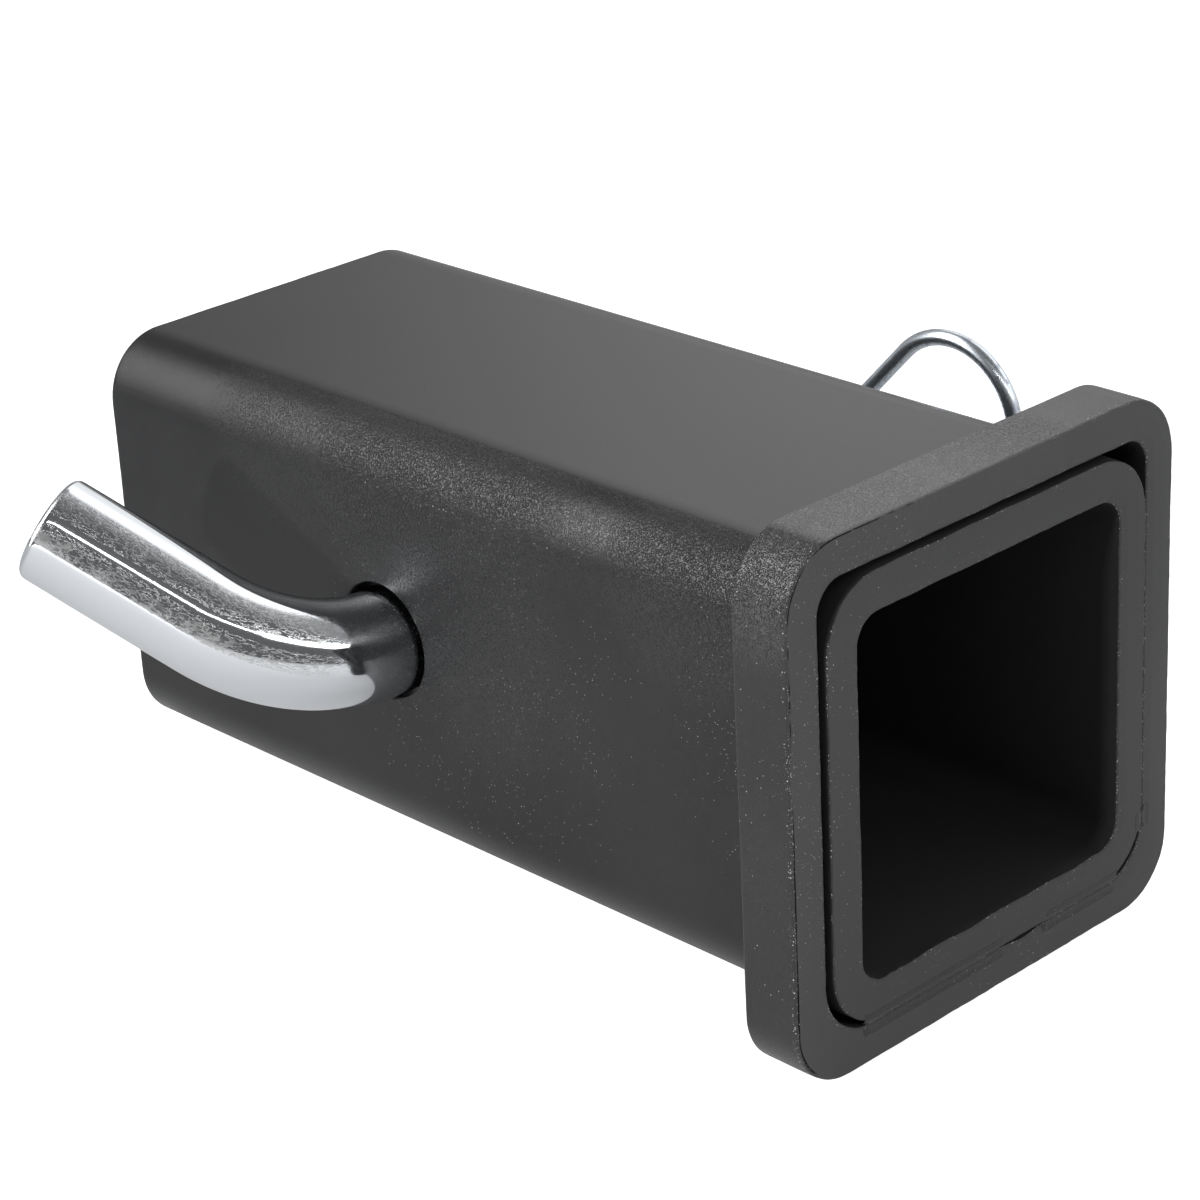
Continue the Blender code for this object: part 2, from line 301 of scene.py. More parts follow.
def mixed(tree, share, a, b):
    """Two colours mixed, as a socket."""
    made = node(tree, "Mix", {0: share, 6: a, 7: b}, data_type="RGBA")
    return made.outputs[2]


def mottling(tree, place, scale, detail=2.0, roughness=0.5, distortion=0.0):
    """Noise from 0 to 1, with patches 1 / scale across, as a socket."""
    made = node(tree, "TexNoise", {"Vector": place, "Scale": scale, "Detail": detail})
    made.inputs["Roughness"].default_value = roughness
    made.inputs["Distortion"].default_value = distortion
    return made.outputs[0]


def off_middle(tree, value):
    """How far noise is from its middle value, which draws thin winding lines."""
    return number(tree, "ABSOLUTE", minus(tree, value, 0.5))


def stretched(tree, place, scale, turned=(0, 0, 0)):
    """A place turned and stretched, for marks that run one way."""
    return node(tree, "Mapping", {"Vector": place, "Rotation": turned, "Scale": scale}).outputs[0]


def kept_value(tree, name):
    """The numbers that point_values keeps on a piece, as a socket."""
    return node(tree, "Attribute", attribute_name=name).outputs["Fac"]


def new_group(name, inputs, outputs):
    """An empty shader group with named sockets; returns it and what it is given."""
    group = bpy.data.node_groups.new(name, "ShaderNodeTree")
    for label, kind, value in inputs:
        socket = group.interface.new_socket(label, in_out="INPUT", socket_type="NodeSocket" + kind)
        if value is not None:
            socket.default_value = value
    for label, kind in outputs:
        group.interface.new_socket(label, in_out="OUTPUT", socket_type="NodeSocket" + kind)
    return group, group.nodes.new("NodeGroupInput").outputs


def group_out(group, values):
    """Link a group's results to its outputs."""
    out = group.nodes.new("NodeGroupOutput")
    for label, socket in values.items():
        group.links.new(socket, out.inputs[label])


def in_millimetres(tree):
    """The place on the piece, in millimetres of the shared frame."""
    place = node(tree, "TexCoord").outputs["Object"]
    return node(tree, "VectorMath", {0: place, 3: 1000.0}, operation="SCALE").outputs[0]


def grit_group():
    """Pale grains caught in the coat, as a mask: more where density is higher."""
    group, given = new_group(
        "coat_grit",
        [
            ("Place", "Vector", None),
            ("Density", "Float", 0.2),
            ("Grain", "Float", 0.12),
            ("Spacing", "Float", 2.0),
        ],
        [("Grit", "Float")],
    )
    inputs = {"Vector": given["Place"], "Scale": given["Spacing"], "Randomness": 1.0}
    cells = node(group, "TexVoronoi", inputs).outputs
    chance = node(group, "SeparateColor", {0: cells["Color"]}).outputs
    size = times(group, given["Grain"], plus(group, chance[1], 0.45), given["Spacing"])
    dot = minus(group, size, cells["Distance"])
    dot = number(group, "DIVIDE", dot, times(group, size, 0.5), clamp=True)
    kept = number(group, "LESS_THAN", chance[0], given["Density"])
    kept = times(group, kept, between(group, chance[2], 0.0, 1.0, 0.4, 1.0))
    group_out(group, {"Grit": times(group, dot, kept)})
    return group


def coat_group(grit):
    """Powder coat: colour, roughness and height in millimetres."""
    group, given = new_group(
        "powder_coat",
        [
            ("Coat", "Color", COAT_BLACK),
            ("Painted Crest Light", "Color", CREST_PAINTED_LIGHT),
            ("Grit Colour", "Color", SPECK_GREY),
            ("Peel", "Float", 0.3),
            ("Grit Density", "Float", 0.1),
            ("Rim", "Float", 0.0),
            ("Sawn", "Float", 0.0),
            ("Groove", "Float", 0.0),
            ("Inside", "Float", 0.0),
        ],
        [("Colour", "Color"), ("Roughness", "Float"), ("Height", "Float")],
    )
    place = in_millimetres(group)
    clouds = mottling(group, place, 0.05, detail=3.0)
    mottle = mottling(group, place, 0.9, detail=4.0, roughness=0.65)
    peel = mottling(group, place, 2.8, detail=1.0, distortion=0.2)
    crease = between(group, off_middle(group, peel), 0.0, 0.09)
    grain = mottling(group, place, 4.5)
    saw = stretched(group, place, (1, 0.35, 6), turned=(SAW_ANGLE, 0, 0))
    saw = mottling(group, saw, 1.0, detail=3.0, roughness=0.6)
    saw = times(group, minus(group, saw, 0.5), given["Sawn"])

    patches = between(group, mottling(group, place, 0.12, detail=1.0), 0.40, 0.62)
    density = times(group, given["Grit Density"], plus(group, times(group, patches, 1.2), 0.25))
    inputs = {"Place": place, "Density": density, "Grain": SPECK_SIZE}
    specks = node(group, "Group", inputs, node_tree=grit).outputs[0]
    tufts = between(group, mottling(group, place, 0.25), 0.38, 0.56, 0.15, 1.0)
    density = times(group, between(group, given["Rim"], 0.4, 0.9), tufts)
    inputs = {"Place": place, "Density": density, "Grain": BEAD_SIZE, "Spacing": BEAD_SPACING}
    beads = node(group, "Group", inputs, node_tree=grit).outputs[0]
    specks = number(group, "MAXIMUM", specks, beads)
    specks = times(group, specks, minus(group, 1.0, given["Inside"]))

    shade = plus(group, times(group, mottle, 0.5), times(group, clouds, 0.5))
    pale = mixed(group, 0.35, given["Coat"], COAT_PALE)
    colour = mixed(group, between(group, shade, 0.36, 0.66), given["Coat"], pale)
    colour = mixed(group, given["Sawn"], colour, COAT_SAWN)
    # Painted light: the peel's crests between its creases are mixed towards a lighter grey, so the
    # creases stay dark.
    painted_crest_light = times(group, between(group, crease, 0.5, 1.0), given["Peel"], 0.6)
    colour = mixed(group, painted_crest_light, colour, given["Painted Crest Light"])
    # Painted shade: sawn edges and the bridges' creases, where the rim value is high, are mixed towards
    # a dark grey.
    colour = mixed(group, between(group, given["Rim"], 0.7, 1.0, 0.0, 0.4), colour, RIM_PAINTED_SHADE)
    groove = between(group, given["Groove"], 0.08, 0.45)
    # Painted shade: the groove behind the collar's lip is painted near black.
    colour = mixed(group, groove, colour, GROOVE_PAINTED_SHADE)
    # Painted shade: inside the bore and where the collar covers the tube, the coat gets a colour of its
    # own, set to how dim it looks there.
    colour = mixed(group, given["Inside"], colour, INSIDE_PAINTED_SHADE)
    colour = mixed(group, specks, colour, given["Grit Colour"])

    roughness = plus(group, times(group, grain, 0.14), 0.12, times(group, clouds, 0.08))
    valleys = times(group, minus(group, 1.0, crease), given["Peel"])
    for mask, rougher in ((given["Sawn"], 0.12), (valleys, 0.22), (groove, 0.6)):
        roughness = plus(group, roughness, times(group, mask, rougher))
    inside = times(group, given["Inside"], 0.6)
    roughness = number(group, "ADD", roughness, inside, clamp=True)

    depth = plus(group, times(group, given["Peel"], PEEL_DEPTH), 0.001)
    height = times(group, minus(group, crease, 0.7), depth)
    swells = times(group, minus(group, peel, 0.5), times(group, depth, 2.0))
    height = plus(group, height, swells, times(group, grain, GRAIN_DEPTH))
    height = plus(group, height, times(group, saw, SAW_DEPTH), times(group, specks, SPECK_HEIGHT))
    group_out(group, {"Colour": colour, "Roughness": roughness, "Height": height})
    return group


def new_material(name):
    """A material with only a Principled shader; returns it, its tree and the shader."""
    made = bpy.data.materials.new(name)
    made.use_nodes = True
    return made, made.node_tree, made.node_tree.nodes["Principled BSDF"]


def fields(tree, place, level, spots):
    """A level that rises round spots, each (x, y, z, radius, strength) in millimetres."""
    total = level
    for x, y, z, radius, strength in spots:
        away = node(tree, "VectorMath", {0: place, 1: (x, y, z)}, operation="DISTANCE").outputs["Value"]
        total = number(tree, "MAXIMUM", total, between(tree, away, radius, radius * 0.3, 0.0, strength))
    return total


def raise_surface(tree, shader, height):
    """Bump a shader's surface by a height in millimetres."""
    bump = node(tree, "Bump", {"Height": height, "Distance": MM, "Strength": 1.0})
    tree.links.new(bump.outputs[0], shader.inputs["Normal"])


def coat_material(
    name,
    coat,
    grit_spots,
    peel_level,
    peel_spots=(),
    smooth_above=100,
    painted_crest_light=CREST_PAINTED_LIGHT,
    shine=0.40,
    top_light_spots=(),
):
    """A piece's own powder coat, with its fields of grit and of heavier orange peel."""
    made, tree, shader = new_material(name)
    place = in_millimetres(tree)
    height = node(tree, "SeparateXYZ", {0: place}).outputs[2]
    cut = kept_value(tree, "cut")
    peel = fields(tree, place, peel_level, peel_spots)
    peel = times(tree, peel, minus(tree, 1.0, times(tree, cut, 0.8)))
    peel = times(tree, peel, between(tree, height, smooth_above, smooth_above - 0.25))
    density = fields(tree, place, 0.0, grit_spots)
    density = times(tree, density, between(tree, height, smooth_above, smooth_above - 3))
    inputs = {"Coat": coat, "Painted Crest Light": painted_crest_light, "Peel": peel, "Grit Density": density, "Sawn": cut}
    for label in ("Rim", "Groove", "Inside"):
        inputs[label] = kept_value(tree, label.lower())
    surface = node(tree, "Group", inputs, node_tree=powder_coat).outputs
    # Painted light: the collar's top face is mixed towards a lighter grey round these spots, for the
    # light that falls on it.
    painted_top_light = fields(tree, place, 0.0, top_light_spots)
    painted_top_light = times(tree, painted_top_light, between(tree, height, 75.7, 76.1))
    colour = mixed(tree, painted_top_light, surface["Colour"], TOP_PAINTED_LIGHT)
    tree.links.new(colour, shader.inputs["Base Color"])
    tree.links.new(surface["Roughness"], shader.inputs["Roughness"])
    raise_surface(tree, shader, surface["Height"])
    shader.inputs["Specular IOR Level"].default_value = shine
    return made


powder_coat = coat_group(grit_group())


def tube_edge(row, share):
    """How the tube's sawn edge wanders; the saw tore it along the bore's floor."""
    wander = 0.11 * rough(row, 5 * MM, 1 + share) + 0.05 * rough(row, 1.3 * MM, 2 + share)
    if share < 0.5:
        return np.minimum(wander - 0.06, 0)
    floor_part = np.clip((16 - row[:, 2] / MM) / 3, 0, 1)
    return wander + floor_part * (0.22 * rough(row, 4 * MM, 8) + 0.10 * rough(row, 1.1 * MM, 9))


def no_lip(row):
    """No groove: the tube's front edge is plain."""
    return np.zeros(len(row))


tube = sawn_ring(
    "sleeve_tube_coated",
    (TUBE_WIDTH, [TUBE_CORNER] * 4),
    (BORE_WIDTH, [BORE_CORNER] * 4),
    TUBE_BACK,
    TUBE_FRONT,
    AXIS_HEIGHT,
    (0, 0),
    TUBE_EDGE,
    tube_edge,
    no_lip,
    covered_from=-2 * MM,
)
tube_flare = [(wider, TUBE_WIDTH / 2 + past * MM) for wider, past in TUBE_HOLE_FLARE]
drill_through(tube, HOLE_PLACE, (0, 1, 0), HOLE_RADIUS, tube_flare)
tube.data.set_sharp_from_angle(angle=radians(35))
tube.data.materials.append(
    coat_material(
        "tube_powder_coat",
        COAT_BLACK,
        grit_spots=[(-60, -32, 42, 38, 0.75), (4, -28, 48, 34, 0.85), (4, 0, 10, 24, 0.40)],
        peel_level=0.06,
        peel_spots=[
            (-100, -27, 66, 24, 0.4),
            (-78, -28, 67, 26, 1.0),
            (-60, -28, 67, 24, 1.0),
            (-40, -29, 67, 18, 0.3),
            (-18, -29, 67, 24, 1.0),
            (-60, -32, 44, 26, 0.45),
        ],
        smooth_above=69.35,
    )
)
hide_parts("sleeve_tube")
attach(tube, "sleeve")


# COLLAR
# Slice of the next larger square tube, slipped over the mouth as the stop against
# the receiver. It hangs on the tube, so the gap is wide at the left and the top.
# The saw has left a fine groove behind the lip of the coat at its front edge; its black is painted
# shade.
COLLAR_WIDTH = 0.0762
COLLAR_CORNER = 0.0095
COLLAR_BORE = 0.0648
COLLAR_BORE_CORNERS = [0.0040, 0.0045, 0.0086, 0.0080]
COLLAR_FRONT = 0.0046
COLLAR_SHIFT = 0.00035
COLLAR_EDGE = 0.00024
COLLAR_BLACK = (0.005, 0.005, 0.0052, 1.0)
COLLAR_CREST_PAINTED_LIGHT = (0.065, 0.065, 0.066, 1.0)


def left_lip(row):
    """Where the groove runs: down the left edge and round its top corner."""
    y = row[:, 1] / MM
    z = row[:, 2] / MM
    on_top = np.clip((z - 74.5) / 1.0, 0, 1) * np.clip((-8 - y) / 14, 0, 1)
    return np.clip((-34.5 - y) / 1.5, 0, 1) + on_top


def collar_edge(row, share):
    """How the collar's sawn edge wanders; under the tube it has a shallow bite."""
    wander = 0.07 * rough(row, 5 * MM, 1 + share) + 0.04 * rough(row, 1.3 * MM, 2 + share)
    if share < 0.5:
        return np.minimum(wander - 0.04, 0)
    y = row[:, 1] / MM
    bite = np.clip(1 - np.abs(y - 6.2) / 4.6, 0, 1) * (row[:, 2] < 8 * MM)
    return wander - 0.5 * bite


collar = sawn_ring(
    "collar_coated",
    (COLLAR_WIDTH, [COLLAR_CORNER] * 4),
    (COLLAR_BORE, COLLAR_BORE_CORNERS),
    -COLLAR_FRONT,
    COLLAR_FRONT,
    AXIS_HEIGHT,
    (-COLLAR_SHIFT, COLLAR_SHIFT),
    COLLAR_EDGE,
    collar_edge,
    left_lip,
    covered_from=1.0,
)
collar.data.set_sharp_from_angle(angle=radians(35))
collar.data.materials.append(
    coat_material(
        "collar_powder_coat",
        COLLAR_BLACK,
        grit_spots=[(0, -38, 40, 36, 0.65), (4, -30, 66, 26, 0.45), (4, 6, 3, 20, 0.2)],
        peel_level=0.12,
        peel_spots=[(0, -34, 71, 15, 1.0), (0, -20, 76, 22, 1.0), (0, 2, 76, 20, 0.7)],
        painted_crest_light=COLLAR_CREST_PAINTED_LIGHT,
        shine=0.52,
        top_light_spots=[(0, -32, 76, 62, 1.0)],
    )
)
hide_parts("collar")
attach(collar, "sleeve")


# COLLAR WELD
# Fillet that joins the collar's back face to the tube all round, laid down in short
# overlapping ripples and coated together with them.
WELD_LEG = 0.0042
WELD_CROWN = 0.0005
WELD_PITCH = 3.2
WELD_ROOT_X = -0.0049
WELD_STATIONS = 720
WELD_STEPS = 12
WELD_SLOPE = 0.7071
RIPPLE_DEPTH = 0.16


def weld_rows():
    """Sections of the fillet, one per station round the tube."""
    inset = TUBE_WIDTH / 2 - TUBE_CORNER
    straight = 2 * inset
    arc = (TUBE_CORNER + 0.2 * MM) * pi / 2
    around = 4 * (straight + arc)
    ripples = round(around / MM / WELD_PITCH)
    rows, hollows = [], []
    sunk = 0.1 * MM
    for station in range(WELD_STATIONS):
        gone = around * station / WELD_STATIONS
        side, rest = divmod(gone, straight + arc)
        turn = side * pi / 2
        ahead = Vector((-sin(turn), cos(turn)))
        out = Vector((cos(turn), sin(turn)))
        if rest < straight:
            at = out * (inset + TUBE_CORNER) + ahead * (rest - inset)
            normal = out
        else:
            bend = (rest - straight) / arc * pi / 2
            normal = out * cos(bend) + ahead * sin(bend)
            at = (out + ahead) * inset + normal * TUBE_CORNER
        root = at - normal * sunk + Vector((0, AXIS_HEIGHT))
        row = [(WELD_ROOT_X + 0.5 * MM, *root)]
        hollow = [0.0]
        for step in range(WELD_STEPS + 1):
            share = step / WELD_STEPS
            bow = 1 - (2 * share - 1) ** 2
            place = at + normal * WELD_LEG * (1 - share)
            spot = Vector((WELD_ROOT_X - WELD_LEG * share, place.x, place.y + AXIS_HEIGHT))
            phase = station / WELD_STATIONS * ripples + 0.35 * bow
            phase = (phase + 0.25 * noise.noise(spot / (6 * MM))) % 1
            dip = (1 - phase) ** 3 * RIPPLE_DEPTH + 0.05 * (0.5 + noise.noise(spot / (1.5 * MM)))
            lumps = 0.25 * MM * noise.noise(spot / (8 * MM)) * (bow + 0.3)
            rise = WELD_CROWN * bow - dip * MM * (0.35 + bow) + lumps
            rise = min(rise, WELD_CROWN)
            outward = place + normal * rise * WELD_SLOPE
            row.append((spot.x - rise * WELD_SLOPE, outward.x, outward.y + AXIS_HEIGHT))
            hollow.append(max(0.0, 1 - phase * 4))
        row.append((WELD_ROOT_X - WELD_LEG, *root))
        hollow.append(0.0)
        rows.append(row)
        hollows += hollow
    return rows, hollows


rows, hollows = weld_rows()
weld = ring_mesh("collar_weld_coated", rows)
point_values(weld, "rim", np.array(hollows) * 0.6)
weld.data.set_sharp_from_angle(angle=radians(50))
weld.data.materials.append(
    coat_material(
        "weld_powder_coat",
        COAT_BLACK,
        grit_spots=[(-7, -32, 40, 40, 0.35)],
        peel_level=0.25,
    )
)
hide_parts("collar_weld")
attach(weld, "sleeve")


# COAT BRIDGES
# The powder has run together over the gap between tube and collar along the bottom
# and at the right. Each bridge is a skin of coat with round ends and a beaded crease.
BRIDGE_TUBE_X = 0.00499
BRIDGE_COLLAR_X = 0.00464
BRIDGE_GREY = (0.028, 0.028, 0.029, 1.0)
BRIDGE_PITCH = 0.2
GAP_BOTTOM = 5.85
GAP_RIGHT = 31.9


def bridge(name, start, end, sink, crease, place_at):
    """A skin from the tube's front face over the gap to the collar's front face.

    start and end are distances in millimetres along the gap. place_at gives the
    (y, z) of a point from its distance along the gap and its distance outward from
    the middle of the gap. sink is how deep the skin hollows over the gap.
    """
    across = [-1.65, -1.3, -0.95, -0.7, -0.5, -0.35, -0.22, -0.1, 0.0]
    across += [0.1, 0.22, 0.35, 0.5, 0.75, 1.05, 1.4, 1.7]
    stations = int((end - start) / BRIDGE_PITCH)
    rows, rims = [], []
    for station in range(stations + 1):
        along = start + (end - start) * station / stations
        near_end = min(along - start, end - along)
        closing = max(0.0, 1 - near_end / 1.1) ** 2
        front, back, rim = [], [], []
        for out in across:
            share = min(1.0, max(0.0, (out + 1.1) / 2.2))
            share = share * share * (3 - 2 * share)
            x = BRIDGE_TUBE_X * (1 - share) + BRIDGE_COLLAR_X * share
            over_gap = max(0.0, 1 - abs(out) / 0.55) ** 1.5
            wave = noise.noise(Vector((along / 1.7, out, 3.1)))
            bead = noise.noise(Vector((along / 0.55, out / 0.6, 9.4)))
            x -= over_gap * (sink * (1 + 0.5 * wave) + closing * 1.2) * MM
            line = max(0.0, 1 - abs(out + 0.08 * wave) / 0.14)
            x -= crease * line * (0.6 + 0.5 * bead) * MM
            x -= (0.012 * (1 + bead) + 0.03 * closing) * MM
            x = min(x, BRIDGE_TUBE_X)
            y, z = place_at(along, out)
            front.append((x, y, z))
            back.append((x - (0.22 + 0.6 * over_gap) * MM, y, z))
            # The rim value brings grit beads along the crease and marks it for painted shade.
            rim.append(max(line * crease * 6, 0.8 * closing))
        rows.append(front + back[::-1])
        rims += rim + rim[::-1]
    made = ring_mesh(name, rows, closed=False)
    point_values(made, "rim", np.clip(rims, 0, 1))
    made.data.set_sharp_from_angle(angle=radians(50))
    made.data.materials.append(bridge_coat)
    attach(made, "sleeve")


def under_tube(along, out):
    """A place in the gap below the tube."""
    return along * MM, (GAP_BOTTOM - out) * MM


def beside_tube(along, out):
    """A place in the gap at the tube's far side."""
    return (GAP_RIGHT + out) * MM, along * MM


bridge_coat = coat_material(
    "bridge_powder_coat",
    BRIDGE_GREY,
    grit_spots=[(4, 8, 5, 22, 0.5)],
    peel_level=0.1,
)
bridge("coat_bridge_left", -26.0, 2.0, sink=0.10, crease=0.05, place_at=under_tube)
bridge("coat_bridge_middle", 10.4, 26.2, sink=0.06, crease=0.16, place_at=under_tube)
bridge("coat_bridge_right", 11.75, 15.15, sink=0.12, crease=0.05, place_at=beside_tube)


# PIN
# Bright plated steel bar, 5/8 inch, bent hot to a handle and drilled across for the
# clip. The plating is scratched and pitted by handling.
PIN_RADIUS = 0.0079375
PIN_X = -0.080427
PIN_Z = 0.037878
PIN_NOSE_Y = 0.06475
PIN_BEND_Y = -0.03205
PIN_BEND_RADIUS = 0.0238
PIN_BEND_ANGLE = radians(65)
PIN_HANDLE_LENGTH = 0.0257
PIN_HANDLE_ROLL = radians(33)
PIN_SIDES = 96
PIN_ROUNDING = 0.0012
PIN_DENT = 0.00002
PIN_NOSE = [
    (0, 0.001),
    (0, 0.0045),
    (0, 0.0054),
    (0.00015, 0.00565),
    (0.0004, 0.00578),
    (0.0028, 0.00782),
    (0.0032, 0.00792),
    (0.0036, PIN_RADIUS),
]
NOSE_LENGTH = 0.0045
CROSS_HOLE_Y = 0.05475
CROSS_HOLE_RADIUS = 0.0019
CROSS_HOLE_FLARE = [(0.0, 7.35), (0.08, 7.55), (0.30, 7.80), (0.75, 8.20), (1.5, 10)]
CLIP_TILT = radians(46.5)
CHROME_CLEAN = (0.72, 0.745, 0.77, 1.0)
CHROME_HAZE = (0.58, 0.59, 0.60, 1.0)
CHROME_WORN = (0.78, 0.78, 0.78, 1.0)


def pin_line():
    """Rings of the pin from nose to handle: (centre, way, radius, length so far)."""
    shank = Vector((0, -1, 0))
    side = Vector((-cos(PIN_HANDLE_ROLL), 0, sin(PIN_HANDLE_ROLL)))
    start = Vector((PIN_X, PIN_NOSE_Y, PIN_Z))
    bend = Vector((PIN_X, PIN_BEND_Y, PIN_Z))
    rings = []
    for length, radius in PIN_NOSE:
        rings.append((start + shank * length, shank, radius, length))
    straight = PIN_NOSE_Y - PIN_BEND_Y
    for share in np.linspace(NOSE_LENGTH / straight, 1, 50):
        rings.append((start + shank * straight * share, shank, PIN_RADIUS, straight * share))
    for step in range(1, 45):
        angle = PIN_BEND_ANGLE * step / 44
        way = shank * cos(angle) + side * sin(angle)
        at = bend + (shank * sin(angle) + side * (1 - cos(angle))) * PIN_BEND_RADIUS
        rings.append((at, way, PIN_RADIUS, straight + angle * PIN_BEND_RADIUS))
    way = rings[-1][1]
    at = rings[-1][0]
    so_far = rings[-1][3]
    for share in np.linspace(0.04, 1, 24):
        length = (PIN_HANDLE_LENGTH - PIN_ROUNDING) * share
        rings.append((at + way * length, way, PIN_RADIUS, so_far + length))
    for step in range(1, 9):
        turn = step / 8 * pi / 2
        length = PIN_HANDLE_LENGTH - PIN_ROUNDING * (1 - sin(turn))
        radius = PIN_RADIUS - PIN_ROUNDING * (1 - cos(turn))
        rings.append((at + way * length, way, radius, so_far + length))
    for radius in (0.0060, 0.0045, 0.001):
        rings.append((at + way * PIN_HANDLE_LENGTH, way, radius, so_far + PIN_HANDLE_LENGTH))
    return rings, side.cross(shank)


def keep_drawn(piece, straight):
    """Keep where each point of a bent bar was while it was straight, in millimetres."""
    for axis, label in enumerate(("drawn_x", "drawn_y", "drawn_z")):
        point_values(piece, label, np.array(straight)[:, axis])


def drawn_place(tree):
    """The place on a bar before it was bent, for marks that follow it round a bend."""
    parts = [kept_value(tree, "drawn_" + axis) for axis in "xyz"]
    return node(tree, "CombineXYZ", dict(enumerate(parts))).outputs[0]


rings, across = pin_line()
pin_rows, pin_straight = [], []
for centre, way, radius, length in rings:
    up = way.cross(across).normalized()
    row = []
    for i in range(PIN_SIDES):
        angle = 2 * pi * i / PIN_SIDES
        outward = across * cos(angle) + up * sin(angle)
        straight = Vector((cos(angle) * radius, sin(angle) * radius, length))
        dent = noise.noise(straight / (9 * MM)) * PIN_DENT
        row.append(centre + outward * (radius - PIN_DENT + min(dent, PIN_DENT)))
        pin_straight.append(straight / MM)
    pin_rows.append(row)
pin = ring_mesh("hitch_pin_plated", pin_rows, closed=False)
keep_drawn(pin, pin_straight)
pin_flare = [(wider, distance * MM) for wider, distance in CROSS_HOLE_FLARE]
clip_centre = Vector((PIN_X, CROSS_HOLE_Y, PIN_Z))
clip_along = Vector((cos(CLIP_TILT), 0, sin(CLIP_TILT)))
drill_through(pin, clip_centre, clip_along, CROSS_HOLE_RADIUS, pin_flare)
pin.data.set_sharp_from_angle(angle=radians(40))

chrome, tree, shader = new_material("bright_plating")
place = drawn_place(tree)
parts = node(tree, "SeparateXYZ", {0: place}).outputs
turn = number(tree, "ARCTAN2", parts[1], parts[0])
along = parts[2]
round_bar = times(tree, turn, PIN_RADIUS / MM)
skin = node(tree, "CombineXYZ", {0: round_bar, 1: along}).outputs[0]

# The marks lie on the handle's near side, but for one line that is rubbed bright.
handled = between(tree, turn, radians(-63), radians(-61))
handled = times(tree, handled, between(tree, turn, radians(8), radians(-4)))
handled = times(tree, handled, between(tree, along, 104, 110))
curls = stretched(tree, skin, (1.0, 0.6, 1.0), turned=(0, 0, 0.25))
curls = mottling(tree, curls, 1.05, detail=1.0, distortion=1.2)
scratches = between(tree, off_middle(tree, curls), 0.038, 0.010)
broken = between(tree, mottling(tree, skin, 0.9, roughness=0.6), 0.44, 0.56)
scratches = times(tree, scratches, broken)
cells = node(tree, "TexVoronoi", {"Vector": skin, "Scale": 0.95, "Randomness": 1.0}).outputs
chance = node(tree, "SeparateColor", {0: cells["Color"]}).outputs
nicks = between(tree, cells["Distance"], 0.12, 0.06)
nicks = times(tree, nicks, between(tree, chance[0], 0.60, 0.70))
dashes = stretched(tree, skin, (2.6, 0.7, 1.0), turned=(0, 0, -0.2))
dashes = mottling(tree, dashes, 0.9, roughness=0.55, distortion=0.6)
dashes = between(tree, off_middle(tree, dashes), 0.036, 0.008, 0.0, 0.7)
marks = number(tree, "MAXIMUM", number(tree, "MAXIMUM", scratches, nicks), dashes)
rubbed = number(tree, "ABSOLUTE", plus(tree, turn, radians(34)))
marks = times(tree, marks, between(tree, rubbed, radians(4), radians(7)), handled)

# Haze, a worn patch, a slow swell of the bar and fine lines along it.
haze = mottling(tree, skin, 2.4, detail=3.0, roughness=0.7)
haze = times(tree, between(tree, haze, 0.35, 0.70), handled)
worn = mottling(tree, skin, 0.22, detail=4.0, roughness=0.65)
worn = plus(tree, worn, between(tree, along, 112, 124, -0.35, 0.0))
worn = minus(tree, worn, between(tree, turn, radians(-52), radians(-34), 0.0, 0.45))
worn = times(tree, between(tree, worn, 0.34, 0.60, 0.0, 0.75), handled)
swell = mottling(tree, place, 0.35, detail=1.0)
lines = mottling(tree, stretched(tree, skin, (2.5, 0.16, 1.0)), 1.6, detail=4.0, roughness=0.7)
height = plus(tree, times(tree, marks, -0.006), times(tree, swell, 0.003))
raise_surface(tree, shader, plus(tree, height, times(tree, lines, 0.0012)))
shade = mixed(tree, times(tree, haze, 0.8), CHROME_CLEAN, CHROME_HAZE)
shade = mixed(tree, number(tree, "MAXIMUM", marks, worn), shade, CHROME_WORN)
tree.links.new(shade, shader.inputs["Base Color"])
gloss = plus(tree, times(tree, marks, 0.38), times(tree, worn, 0.30), times(tree, haze, 0.06), 0.05)
tree.links.new(gloss, shader.inputs["Roughness"])
shader.inputs["Metallic"].default_value = 1.0
pin.data.materials.append(chrome)
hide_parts("hitch_pin")
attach(pin, "pin")


# HAIRPIN CLIP
# One length of bright zinc-coated spring wire. The straight leg goes through the
# pin, the wire turns back in a round bow, grips the pin's far side and flares out.
WIRE_RADIUS = 0.00125
WIRE_SIDES = 28
WIRE_GAP = 0.0003
WIRE_STEP = 0.0006
WIRE_DENT = 0.000012
WIRE_ENDS = [(0.0, 0.25), (0.0, 0.80), (0.06, 0.90), (0.20, 0.98)]
CLIP_BOW = (0.0330, 0.0122)
CLIP_TAIL = 0.0145
CLIP_NECK = (0.0045, 0.0008)
CLIP_TIP = (0.0060, 0.0016)
CLIP_FLARE = radians(38)
CLIP_TIP_LENGTH = 0.0040
ZINC_CLEAN = (0.70, 0.75, 0.80, 1.0)
ZINC_STAIN = (0.46, 0.50, 0.56, 1.0)
ZINC_FLECK = (0.20, 0.22, 0.25, 1.0)


